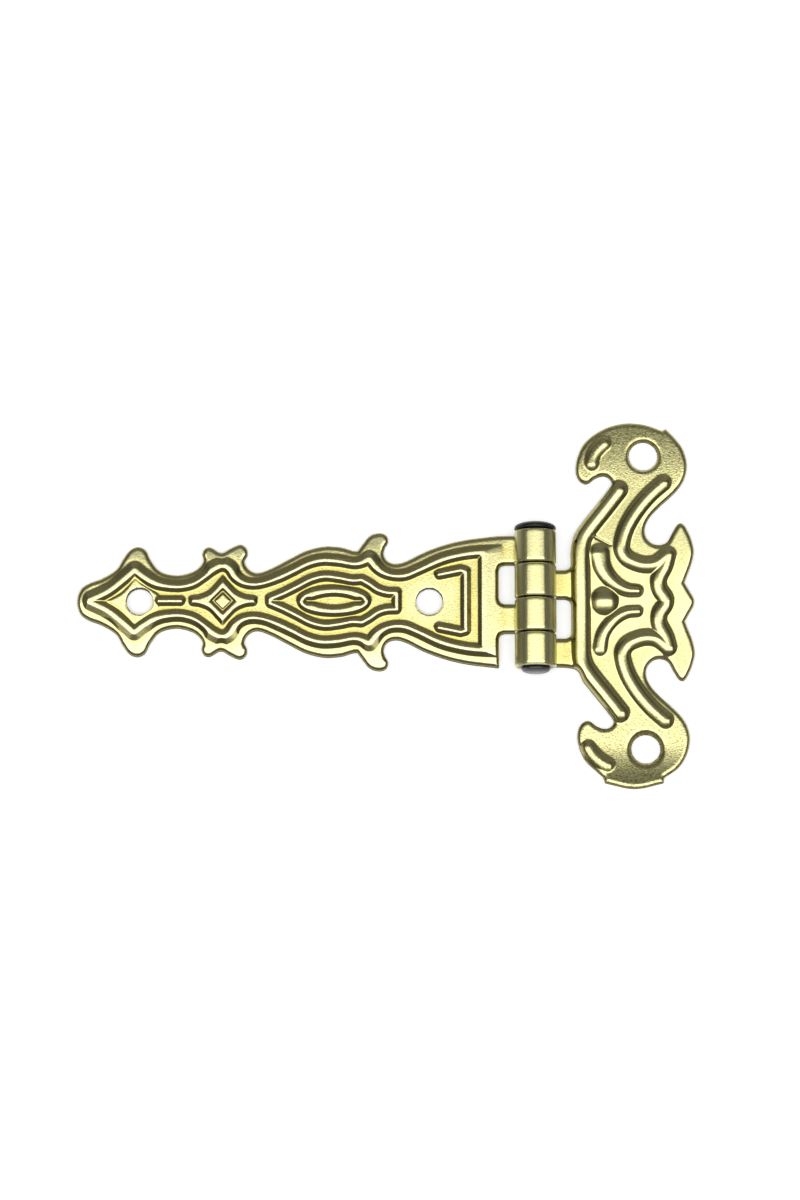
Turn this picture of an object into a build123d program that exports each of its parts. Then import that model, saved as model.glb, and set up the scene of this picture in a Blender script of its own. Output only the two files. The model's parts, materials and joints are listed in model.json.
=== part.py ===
from build123d import *
import os
from math import acos, atan, atan2, cos, degrees, sin

# Decorative strap hinge, stamped from sheet and joined by a rivet pin. Millimetres.
# The pin runs along Y with its head at +Y. The leaves lie open in the XY plane with their backs at Z = 0:
# the strap leaf points to -X and the scroll leaf to +X.

# Sheet, pin and barrel
sheet = 0.8                 # thickness of both leaves
pin_diameter = 2.6
pin_clearance = 0.05        # radial play of the pin in the rolled knuckles
knuckle_pitch = 3.55        # length of barrel taken by each of the four knuckles
knuckle_gap = 0.12          # axial play between neighbouring knuckles
roll_seam = 0.15            # open seam between the end of a roll and its own tab
leaf_edge = 3.7             # pin axis to the inner edge of each leaf
tab_step = 0.2              # how much narrower a tab is than its knuckle, each side
slot_corner = 0.6           # rounded corners between tab and leaf
head_diameter = 4.3         # domed rivet head
head_height = 0.85
peen_diameter = 3.0         # spread end of the rivet
peen_height = 0.55
head_seat = 0.04            # play under the head and over the peened end

# Strap leaf: distances along the strap, chained from the inner edge to the tip
fan_length = 12.2           # inner edge to the middle of the ears
ear_to_lozenge = 5.4
lozenge_to_star = 10.6
star_to_lobe = 8.5
lobe_to_tip = 6.4
strap_hole_diameter = 2.7
fan_hole_inset = 7.1        # inner edge to the screw hole in the fan

# Strap leaf: half widths of the outline
ear_half = 7.1
lozenge_half = 5.8
waist_half = 2.65
star_half = 6.1
neck_half = 2.6
lobe_half = 6.0
knob_half = 1.75

# Pressed relief of the strap leaf
panel_rise = 0.2            # ground inside the rim, above the rim
ridge_rise = 0.45           # crests, above the rim
ridge_width = 0.8           # at the foot
ridge_slope = 0.22          # run of each sloping side
bracket_width = 0.9
pad_rise = 0.28             # fields round the screw holes, above the rim
groove_width = 0.5          # hollow behind a ridge, at the back face
groove_depth = 0.3

# Scroll leaf
head_inset = 7.5            # inner edge to the screw holes in the scroll heads
head_spacing = 30.4         # between those holes
head_rise = 3.6             # hole to the rounded end of the head
head_round = 4.5            # hole to the outer side of the head
hook_reach = 7.1            # hole to the tip of the hooked curl
hook_drop = 2.8             # how far that curl hangs back towards the barrel
head_hole_diameter = 2.95
head_hole_mouth = 4.2       # drawn-in mouth of those holes
scroll_width = 12.6         # inner edge to the tip of the middle bump
notch_depth = 5.2           # of the notches beside that bump
stub_width = 6.2            # sheared stub where the lower head left the strip
stub_height = 0.55          # at the middle of its bowed edge
stub_root = 1.5             # how far the stub runs into the head
bead_width = 1.6            # rounded beads, at the foot
arm_width = 1.9             # wider bead on the slanted arms
comma_width = 1.3
bead_slope = 0.5            # run of each sloping side
bead_rise = 0.55
hollow_width = 0.9          # hollow behind a bead, at the back face
hollow_depth = 0.45
dome_diameter = 3.1
dome_rise = 0.5

# Values worked out from the sizes above
bore_radius = pin_diameter / 2 + pin_clearance
barrel_radius = bore_radius + sheet
barrel_half = 2 * knuckle_pitch
edge_x = -leaf_edge
ear_x = edge_x - fan_length
lozenge_x = ear_x - ear_to_lozenge
star_x = lozenge_x - lozenge_to_star
lobe_x = star_x - star_to_lobe
tip_x = lobe_x - lobe_to_tip
fan_hole_x = edge_x - fan_hole_inset
fan_half = barrel_half - knuckle_gap / 2 - tab_step     # flush with the first tab
head_x = leaf_edge + head_inset
head_y = head_spacing / 2
head_top = head_y + head_rise
bump_x = leaf_edge + scroll_width
notch_x = bump_x - notch_depth
root = sheet / 2            # how deep the foot of a raised form reaches into the sheet


# Outlines and paths are corners (x, y, radius) of the upper half, and the lower half is their mirror image
def mirrored(corners):
    return [(x, -y, r) for x, y, r in reversed(corners) if y > 0]


def flipped(corners):
    return [(x, -y, r) for x, y, r in corners]


def closed_path(upper):
    corners = upper + mirrored(upper)
    return FilletPolyline(*[(x, y) for x, y, r in corners], radius=[r for x, y, r in corners], close=True)


def open_path(corners):
    return FilletPolyline(*[(x, y) for x, y, r in corners], radius=[r for x, y, r in corners[1:-1]])


def swept(path, section):
    """Carry a flat section, drawn as (across, height), along a path on the sheet."""
    along = path % 0
    across = Plane(origin=path @ 0, x_dir=Vector(0, 0, 1).cross(along), z_dir=along)
    return sweep(across * make_face(section), path=path, transition=Transition.RIGHT)


def ridge(path, width, slope, rise):
    """A flat-topped ridge with sloping sides on the front of the sheet."""
    half = width / 2
    section = Polyline(
        (-half, sheet - root),
        (-half, sheet),
        (slope - half, sheet + rise),
        (half - slope, sheet + rise),
        (half, sheet),
        (half, sheet - root),
        close=True,
    )
    return swept(path, section)


def ridge_ends(path, width, slope, rise):
    """The two ends of an open ridge, rounded off in eight flats with the same slope."""
    ends = []
    for end in (0, 1):
        turn = degrees(atan2((path % end).Y, (path % end).X)) + 22.5
        plan = Pos((path @ end).X, (path @ end).Y, sheet) * RegularPolygon(width / 2, 8, False, rotation=turn)
        ends.append(extrude(plan, amount=rise, taper=degrees(atan(slope / rise))))
    return ends


def groove(path, width, depth):
    """The hollow that a ridge leaves in the back of the sheet."""
    half = width / 2
    floor = half - depth / 3
    return swept(path, Polyline((-half, 0), (-floor, depth), (floor, depth), (half, 0), close=True))


def field(upper, rise):
    """A raised field with a low straight edge, rooted in the sheet."""
    return extrude(Pos(0, 0, sheet - root) * make_face(closed_path(upper)), amount=root + rise)


def knuckle_top(index):
    return barrel_half - index * knuckle_pitch - knuckle_gap / 2


# Knuckles: the sheet runs under the pin as a tab, wraps round it and ends just above the tab
def knuckle(index, side):
    top = knuckle_top(index)
    length = knuckle_pitch - knuckle_gap
    roll_end = acos((bore_radius - roll_seam) / barrel_radius)
    reach = 2 * barrel_radius
    open_side = (side * reach * sin(roll_end), -reach * cos(roll_end))
    seam = make_face(Polyline((0, 0), (0, -reach), (side * reach, -reach), open_side, close=True))
    lay = Plane(origin=(0, top, barrel_radius), x_dir=(1, 0, 0), z_dir=(0, -1, 0))
    roll = extrude(lay * (Circle(barrel_radius) - Circle(bore_radius) - seam), amount=length)
    tab = Box(leaf_edge, length - 2 * tab_step, sheet)
    return roll + Pos(side * leaf_edge / 2, top - length / 2, sheet / 2) * tab


def round_slots(leaf, side, indices):
    """Round the inner corners where the tabs leave the straight edge of a leaf."""
    tops = [knuckle_top(index) - tab_step for index in indices]
    sides = tops + [top - knuckle_pitch + knuckle_gap + 2 * tab_step for top in tops]
    inner = [y for y in sides if abs(y) < fan_half - slot_corner]
    corners = leaf.edges().filter_by(Axis.Z).filter_by(
        lambda e: abs(e.center().X - side * leaf_edge) < 0.01 and any(abs(e.center().Y - y) < 0.01 for y in inner)
    )
    return fillet(corners, radius=slot_corner)


# Strap leaf
strap_outline = [
    (tip_x, knob_half, 0.95 * knob_half),
    (lobe_x - 3.0, 2.1, 1.2),
    (lobe_x - 0.5, lobe_half, 0.95),
    (lobe_x + 2.6, neck_half, 2.0),
    (star_x - 2.1, neck_half, 1.0),
    (star_x - 2.1, star_half - 0.6, 0.55),
    (star_x - 0.3, star_half - 1.2, 1.5),
    (star_x + 2.6, star_half, 0.6),
    (star_x + 2.2, waist_half, 0.8),
    (lozenge_x, lozenge_half, 4.0),
    (ear_x - 2.2, 4.95, 0.5),
    (ear_x - 1.25, ear_half, 0.9),
    (ear_x + 1.0, ear_half, 0.7),
    (ear_x, 2.85, 1.2),
    (edge_x - 4.3, fan_half - 0.26, 18.0),
    (edge_x, fan_half, 0),
]
# Foot of the raised panel, about a rim's width inside the outline
panel_outline = [
    (tip_x + 0.75, 0.45, 0),
    (lobe_x - 2.4, 1.7, 2.0),
    (lobe_x - 0.85, 4.3, 0),
    (lobe_x - 0.15, 4.3, 0),
    (lobe_x + 2.1, 1.75, 1.5),
    (star_x - 2.6, 1.75, 1.2),
    (star_x - 1.5, 4.2, 0),
    (star_x + 1.1, 4.3, 0),
    (star_x + 2.0, 1.85, 1.0),
    (lozenge_x, 4.9, 4.0),
    (ear_x - 2.5, 4.2, 0),
    (ear_x - 1.0, 5.2, 0),
    (ear_x + 1.2, 3.3, 1.0),
    (edge_x - 4.6, fan_half - 0.75, 14.0),
    (edge_x - 1.2, fan_half - 0.45, 0),
]
# Crest of the ridge that frames the panel: hollow curves that meet in points
frame_upper = [
    (lobe_x - 2.3, 0.95, 2.0),
    (lobe_x - 0.5, 3.3, 0),
    (lobe_x + 2.2, 1.2, 2.0),
    (star_x - 2.4, 1.25, 2.0),
    (star_x - 0.3, 3.7, 0),
    (star_x + 0.15, 3.7, 0),
    (star_x + 1.7, 1.45, 1.6),
    (lozenge_x, 4.35, 4.0),
    (ear_x - 2.7, 3.65, 0),
    (ear_x - 1.0, 4.6, 0),
    (ear_x + 1.5, 2.95, 0.9),
    (edge_x - 4.8, fan_half - 1.25, 12.0),
    (edge_x - 1.3, fan_half - 0.8, 0),
]
loop_upper = [
    (lozenge_x - 6.0, 0, 0.7),
    (lozenge_x + 0.1, 2.8, 3.0),
    (ear_x - 2.4, 2.15, 0),
    (ear_x - 1.0, 2.15, 0),
    (ear_x + 1.7, 1.0, 0.5),
]
ring_x = lozenge_x + 0.7
ring_upper = [
    (ring_x - 3.4, 0.35, 0),
    (ring_x - 2.5, 0.9, 0),
    (ring_x + 2.5, 0.9, 0),
    (ring_x + 3.4, 0.35, 0),
]
bracket_upper = [(fan_hole_x + 3.75, 3.3, 0.6), (fan_hole_x + 1.0, 2.7, 0)]
star_upper = [
    (star_x - 3.4, 0.35, 0),
    (star_x - 1.15, 1.0, 1.2),
    (star_x, 2.6, 0),
    (star_x + 1.15, 1.0, 1.2),
    (star_x + 3.5, 0.35, 0),
]
star_well = [(star_x - 1.5, 0, 0), (star_x, 1.35, 0), (star_x + 1.5, 0, 0)]
star_core = [(star_x - 0.9, 0, 0), (star_x, 0.85, 0), (star_x + 0.9, 0, 0)]
lobe_field = [
    (lobe_x - 3.4, 0, 0),
    (lobe_x - 1.9, 0.7, 2.0),
    (lobe_x - 0.4, 2.35, 0),
    (lobe_x + 1.8, 0.75, 0.6),
]
fan_field = [
    (fan_hole_x - 2.5, fan_half - 4.83, 0),
    (fan_hole_x + 2.2, fan_half - 2.73, 8.0),
    (fan_hole_x + 4.9, fan_half - 2.13, 0),
]


def strap_leaf():
    frame_corners = mirrored(frame_upper) + [(tip_x + 1.3, 0, 0)] + frame_upper
    frame = open_path(frame_corners)
    bracket = open_path(mirrored(bracket_upper) + bracket_upper)
    loop = closed_path(loop_upper)
    ring = closed_path(ring_upper)
    bar = Pos(star_x - 5.25, 0, sheet) * SlotOverall(2.7, 1.0)
    well = Pos(0, 0, sheet + panel_rise) * make_face(closed_path(star_well))

    leaf = extrude(make_face(closed_path(strap_outline)), amount=sheet)
    for index in (0, 2):
        leaf += knuckle(index, -1)
    leaf = round_slots(leaf, -1, (0, 2))
    leaf += field(panel_outline, panel_rise)
    leaf += field(lobe_field, pad_rise)
    leaf += field(fan_field, pad_rise)
    star = chamfer(field(star_upper, ridge_rise).faces().sort_by(Axis.Z)[-1].edges(), length=ridge_slope)
    leaf += star - extrude(well, amount=ridge_rise)
    leaf += field(star_core, ridge_rise)
    leaf += extrude(bar, amount=ridge_rise)
    leaf += [ridge(path, ridge_width, ridge_slope, ridge_rise) for path in (frame, loop, ring)]
    leaf += ridge(bracket, bracket_width, ridge_slope, ridge_rise)
    leaf += ridge_ends(bracket, bracket_width, ridge_slope, ridge_rise)
    for corners, whole in ((frame_corners, False), (loop_upper + mirrored(loop_upper), True)):
        mitred = Polyline(*[(x, y) for x, y, r in corners], close=whole)
        leaf -= groove(mitred, groove_width, groove_depth)
    for x in (lobe_x, fan_hole_x):
        leaf -= Pos(x, 0, 0) * Cylinder(strap_hole_diameter / 2, 4 * sheet)
    return leaf


# Scroll leaf
scroll_outline = [
    (bump_x + 0.2, 0, 1.0),
    (bump_x - 0.95, 1.75, 0.6),
    (bump_x, 4.95, 2.5),
    (bump_x - 1.0, 8.35, 0.45),
    (notch_x, 4.72, 1.15),
    (notch_x, 8.2, 1.2),
    (head_x + head_round, head_y - hook_drop, 3.0),
    (head_x + head_round, head_top, 1.24 * head_rise),
    (head_x - hook_reach + 0.3, head_top, 1.24 * head_rise),
    (head_x - hook_reach, head_y - hook_drop, 1.1),
    (head_x - 1.5, head_y - 0.54, 0.78),
    (leaf_edge, barrel_half - 0.1, 2.0),
]
spine_x = leaf_edge + bead_width / 2
arm_upper = [
    (spine_x + 0.15, barrel_half - 0.8, 0),
    (spine_x + 0.2, barrel_half + 0.15, 0),
    (head_x - 2.6, head_y - 3.15, 0),
]
wave_upper = [(bump_x - 3.8, 1.9, 1.4), (bump_x - 2.75, 4.55, 0)]
scroll_upper = [
    (head_x + 1.95, head_y - 2.3, 0),
    (head_x - 2.45, head_y - 6.75, 3.2),
    (head_x - 2.45, 3.3, 1.7),
    (bump_x - 2.75, 4.55, 0),
]
comma_upper = [(head_x - 1.0, 1.35, 0), (head_x - 4.4, 1.35, 3.2), (head_x - 4.4, 5.6, 0)]
curl_upper = [
    (head_x - hook_reach + 3.0, head_y + 1.5, 0),
    (head_x - hook_reach + 1.7, head_y + 0.65, 0),
    (head_x - hook_reach + 1.4, head_y - 0.5, 0),
]


def scroll_leaf():
    half = stub_width / 2
    stub_edge = ThreePointArc((-half, 0), (0, -stub_height), (half, 0))
    stub_sides = Polyline((half, 0), (half, stub_root), (-half, stub_root), (-half, 0))
    blank = make_face(closed_path(scroll_outline))
    blank += Pos(head_x - 1.3, -head_top) * make_face([stub_edge, stub_sides])
    spine = Line((spine_x, -barrel_half), (spine_x, barrel_half))
    wave = open_path(mirrored(wave_upper) + [(bump_x - 3.15, 0, 0)] + wave_upper)
    drawn = [(spine, bead_width), (wave, bead_width)]
    for corners, width in ((arm_upper, arm_width), (scroll_upper, bead_width)):
        drawn += [(open_path(side), width) for side in (corners, flipped(corners))]
    coined = []
    for corners in (comma_upper, curl_upper):
        coined += [(open_path(side), comma_width) for side in (corners, flipped(corners))]

    leaf = extrude(blank, amount=sheet)
    for index in (1, 3):
        leaf += knuckle(index, 1)
    leaf = round_slots(leaf, 1, (1, 3))
    limit = extrude(blank, amount=sheet + bead_rise)
    for path, width in drawn + coined:
        bead = ridge(path, width, bead_slope, bead_rise) + ridge_ends(path, width, bead_slope, bead_rise)
        leaf += bead & limit
    for path, width in drawn:
        leaf -= groove(path, hollow_width, hollow_depth)
    crown = Pos(head_x - 4.1, 0, sheet + dome_rise / 2)
    leaf += crown * Cone(dome_diameter / 2, 0.7 * dome_diameter / 2, dome_rise)
    for y in (head_y, -head_y):
        leaf -= Pos(head_x, y, 0) * Cylinder(head_hole_diameter / 2, 4 * sheet)
    mouths = leaf.edges().filter_by(GeomType.CIRCLE).filter_by(
        lambda e: abs(e.radius - head_hole_diameter / 2) < 0.01 and abs(e.center().Z - sheet) < 0.01
    )
    return chamfer(mouths, length=(head_hole_mouth - head_hole_diameter) / 2)


# Rivet pin
def hinge_pin():
    shank = pin_diameter / 2
    head = head_diameter / 2
    peen = peen_diameter / 2
    top = barrel_half + head_seat
    low = -top
    half = Polyline(
        (0, low - peen_height),
        (0.6 * peen, low - peen_height),
        (peen, low),
        (shank, low),
        (shank, top),
        (head, top),
        (0.7 * head, top + head_height),
        (0, top + head_height),
        close=True,
    )
    return Pos(0, 0, barrel_radius) * revolve(make_face(half), axis=Axis.Y)


os.makedirs("parts", exist_ok=True)
pieces = {"strap_leaf": strap_leaf(), "scroll_leaf": scroll_leaf(), "hinge_pin": hinge_pin()}
for name, solid in pieces.items():
    export_step(solid, f"parts/{name}.step")
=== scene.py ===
import json
import math

import bmesh
import bpy
import numpy as np
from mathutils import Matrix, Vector
from mathutils.geometry import delaunay_2d_cdt
from mathutils.kdtree import KDTree


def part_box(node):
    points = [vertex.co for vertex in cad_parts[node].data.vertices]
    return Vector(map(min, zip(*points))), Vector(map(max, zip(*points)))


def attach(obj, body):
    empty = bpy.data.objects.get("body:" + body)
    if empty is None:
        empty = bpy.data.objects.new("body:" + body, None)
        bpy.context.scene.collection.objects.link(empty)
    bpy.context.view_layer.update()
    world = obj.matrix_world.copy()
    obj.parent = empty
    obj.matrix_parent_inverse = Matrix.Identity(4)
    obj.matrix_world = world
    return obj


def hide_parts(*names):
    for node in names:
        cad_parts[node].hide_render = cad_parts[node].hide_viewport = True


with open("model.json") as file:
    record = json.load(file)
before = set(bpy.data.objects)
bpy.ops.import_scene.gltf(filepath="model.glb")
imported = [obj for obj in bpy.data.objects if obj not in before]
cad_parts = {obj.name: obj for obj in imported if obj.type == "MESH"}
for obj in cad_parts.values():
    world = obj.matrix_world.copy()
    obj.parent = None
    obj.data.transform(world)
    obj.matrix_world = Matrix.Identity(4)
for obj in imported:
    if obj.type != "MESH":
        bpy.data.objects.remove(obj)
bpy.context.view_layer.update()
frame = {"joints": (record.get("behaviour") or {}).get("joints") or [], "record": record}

mm = 0.001                                          # lengths below are in millimetres, meshes in metres
mounts = {mount["name"]: mount for mount in frame["record"]["mounts"]}
pinHeight = frame["joints"][0]["pos_m"][2] / mm     # pin axis above the backs of the leaves


def screwHoles(name):
    dims = mounts[name]["dims"]
    half = np.array([dims.get("spacing_x_mm", 0), dims.get("spacing_y_mm", 0)]) / 2
    centre = np.array(mounts[name]["pos_m"][:2]) / mm
    return [centre - half, centre + half], dims["hole_r_mm"]


strapHoles, strapHoleRadius = screwHoles("strap_screws")
headHoles, headHoleRadius = screwHoles("scroll_screws")
print("frame loaded, pin axis at", round(pinHeight, 3), "mm")

# Sheet and barrel: both leaves are of one gauge, and their tabs roll over the pin
gauge = 0.8
barrel = {
    "outer": pinHeight,
    "bore": pinHeight - gauge,
    "half": 7.1,               # half the barrel's length
    "pitch": 3.55,
    "gap": 0.12,               # play between two knuckles
    "seam": 56.0,              # degrees left open between the end of a roll and its tab
    "edge": 0.24,              # rounding of the knuckles' rims
    "leafEdge": 3.7,           # pin axis to the straight edge of a leaf
    "tabStep": 0.2,
    "slotCorner": 0.6,
    "slotBulge": 0.3,          # where the arc of that corner runs, as a share of its size
}
strapKnuckles = (0, 2)         # counted from the pin's head
scrollKnuckles = (1, 3)


def knuckleSpan(index):
    high = barrel["half"] - index * barrel["pitch"] - barrel["gap"] / 2
    return high - barrel["pitch"] + barrel["gap"], high


# Curves: points (x, y), smooth unless a third value marks a sharp corner
def smoothCurve(points, closed=False, pitch=0.04):
    spots = np.array([point[:2] for point in points], float)
    sharp = [len(point) > 2 for point in points]
    count = len(points)
    if not closed:
        sharp[0] = sharp[-1] = True

    def heading(index, toward):
        if sharp[index]:
            run = toward
        else:
            run = spots[(index + 1) % count] - spots[index - 1]
        return run / np.linalg.norm(run)

    pieces = []
    for index in range(count if closed else count - 1):
        following = (index + 1) % count
        a, b = spots[index], spots[following]
        length = np.linalg.norm(b - a)
        leave, arrive = heading(index, b - a) * length, heading(following, b - a) * length
        t = np.linspace(0, 1, max(2, int(length / pitch)), endpoint=False)[:, None]
        pieces.append(
            a * (1 + 2 * t) * (1 - t) ** 2
            + leave * t * (1 - t) ** 2
            + b * t * t * (3 - 2 * t)
            - arrive * t * t * (1 - t)
        )
    if not closed:
        pieces.append(spots[-1:])
    return np.vstack(pieces)


def mirrored(points):
    return [(point[0], -point[1]) + tuple(point[2:]) for point in reversed(points)]


def below(upper):
    # mirror image of an upper half, without what lies on the middle line
    return [point for point in mirrored(upper) if point[1] < 0]


def around(upper):
    # closed curve from its upper half, whose ends lie on the middle line
    return smoothCurve(upper + below(upper), True)


def tabs(side, indices):
    # straight edge of a leaf with its tabs, from the upper end to the lower
    edge, corner = side * barrel["leafEdge"], barrel["slotCorner"]
    bulge = barrel["slotBulge"] * corner
    limit = barrel["half"] - barrel["gap"] / 2 - barrel["tabStep"]
    points = []
    for index in indices:
        low, high = knuckleSpan(index)
        low, high = low + barrel["tabStep"], high - barrel["tabStep"]
        if high < limit - corner:
            points += [
                (edge, high + corner, 1),
                (edge - side * bulge, high + bulge),
                (edge - side * corner, high, 1),
            ]
        points += [(0, high, 1), (0, low, 1)]
        if low > corner - limit:
            points += [
                (edge - side * corner, low, 1),
                (edge - side * bulge, low - bulge),
                (edge, low - corner, 1),
            ]
    return points


def resampled(curve, pitch):
    closed = np.vstack([curve, curve[:1]])
    along = np.concatenate([[0], np.cumsum(np.linalg.norm(np.diff(closed, axis=0), axis=1))])
    spots = np.linspace(0, along[-1], int(along[-1] / pitch), endpoint=False)
    return np.stack([np.interp(spots, along, closed[:, i]) for i in (0, 1)], 1)


def inset(loop, depth):
    run = np.roll(loop, -1, 0) - np.roll(loop, 1, 0)
    run /= np.maximum(np.linalg.norm(run, axis=1, keepdims=True), 1e-9)
    return loop + depth * np.stack([-run[:, 1], run[:, 0]], 1)


def signedArea(loop):
    x, y = loop.T
    return 0.5 * np.sum(x * np.roll(y, -1) - y * np.roll(x, -1))


def circle(centre, radius, pitch):
    turn = np.linspace(0, -2 * math.pi, int(2 * math.pi * radius / pitch), endpoint=False)
    return np.array(centre) + radius * np.stack([np.cos(turn), np.sin(turn)], 1)


def crossingsAt(loops, y):
    found = []
    for loop in loops:
        a, b = loop, np.roll(loop, -1, 0)
        hit = (a[:, 1] > y) != (b[:, 1] > y)
        share = (y - a[hit, 1]) / (b[hit, 1] - a[hit, 1])
        found.append(a[hit, 0] + share * (b[hit, 0] - a[hit, 0]))
    return np.sort(np.concatenate(found))


# Height map of a leaf's face, on which the press draws its forms
class Plate:
    def __init__(self, outline, pitch=0.05, margin=0.3):
        self.pitch = pitch
        self.low = outline.min(0) - margin
        count = ((outline.max(0) + margin - self.low) / pitch).astype(int) + 1
        self.xs = self.low[0] + pitch * np.arange(count[0])
        self.ys = self.low[1] + pitch * np.arange(count[1])
        self.x, self.y = np.meshgrid(self.xs, self.ys, indexing="ij")

    def distance(self, x, y):
        return np.hypot(self.x - x, self.y - y)

    def nearness(self, curve, half):
        # distance to a curve as a share of its half width, 1 where it is farther off
        halves = np.broadcast_to(half, len(curve))
        near = np.ones(self.x.shape)
        for (x, y), reach in zip(curve, halves):
            i, j = int((x - self.low[0]) / self.pitch), int((y - self.low[1]) / self.pitch)
            r = int(reach / self.pitch) + 2
            window = np.s_[max(i - r, 0):i + r, max(j - r, 0):j + r]
            share = np.hypot(self.x[window] - x, self.y[window] - y) / reach
            near[window] = np.minimum(near[window], share)
        return near

    def inside(self, curve):
        within = np.zeros(self.x.shape, bool)
        for j, y in enumerate(self.ys):
            within[:, j] = np.searchsorted(crossingsAt([curve], y), self.xs) % 2 == 1
        return within

    def depth(self, curve, reach):
        # how far a place lies inside a closed curve, up to the given reach, below 0 outside
        return np.where(self.inside(curve), reach, -reach) * self.nearness(curve, reach)

    def softened(self, field, radius):
        reach = max(1, int(3 * radius / self.pitch))
        taps = np.exp(-0.5 * (np.arange(-reach, reach + 1) * self.pitch / radius) ** 2)
        taps /= taps.sum()
        for axis in (0, 1):
            pad = [(reach, reach) if axis == k else (0, 0) for k in (0, 1)]
            wide = np.pad(field, pad, mode="edge")
            places = np.arange(field.shape[axis])
            field = sum(tap * np.take(wide, places + k, axis) for k, tap in enumerate(taps))
        return field

    def at(self, field, points):
        last = np.array(field.shape) - 1.001                        # just short of the last row
        spot = np.clip((points - self.low) / self.pitch, 0, last)
        i, j = spot.astype(int).T
        u, v = (spot - spot.astype(int)).T
        return (
            field[i, j] * (1 - u) * (1 - v)
            + field[i + 1, j] * u * (1 - v)
            + field[i, j + 1] * (1 - u) * v
            + field[i + 1, j + 1] * u * v
        )

    def raised(self, field, points, by=0.0):
        return np.column_stack([points, self.at(field, points) + by])


def eased(value):
    value = np.clip(value, 0, 1)
    return value * value * (3 - 2 * value)


def bead(near, power=1.7):
    # round-topped, steepest at its foot
    return 1 - np.clip(near, 0, 1) ** power


def crest(near, flat):
    # ridge with a narrow top and straight sloping sides
    return 1 - np.clip((near - flat) / (1 - flat), 0, 1)


def ramp(depth, run):
    # straight slope centred on an edge
    return np.clip(depth / run + 0.5, 0, 1)


def waviness(plate, swing):
    # the sheet is never quite flat after pressing
    x, y = plate.x, plate.y
    broad = np.sin(0.9 * x + 0.5 * np.sin(0.7 * y)) * np.sin(0.75 * y + 1.1)
    fine = 0.6 * np.sin(1.7 * x - 1.3 * y)
    return swing * (broad + fine)


# Strap leaf: rim, raised panel and nested ridges
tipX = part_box("strap_leaf")[0][0] / mm
lobeX, fanX = strapHoles[0][0], strapHoles[1][0]
edgeX = -barrel["leafEdge"]
starX = lobeX + 8.5
lozengeX = starX + 10.6
earX = lozengeX + 5.4
fanHalf = knuckleSpan(0)[1] - barrel["tabStep"]

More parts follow.
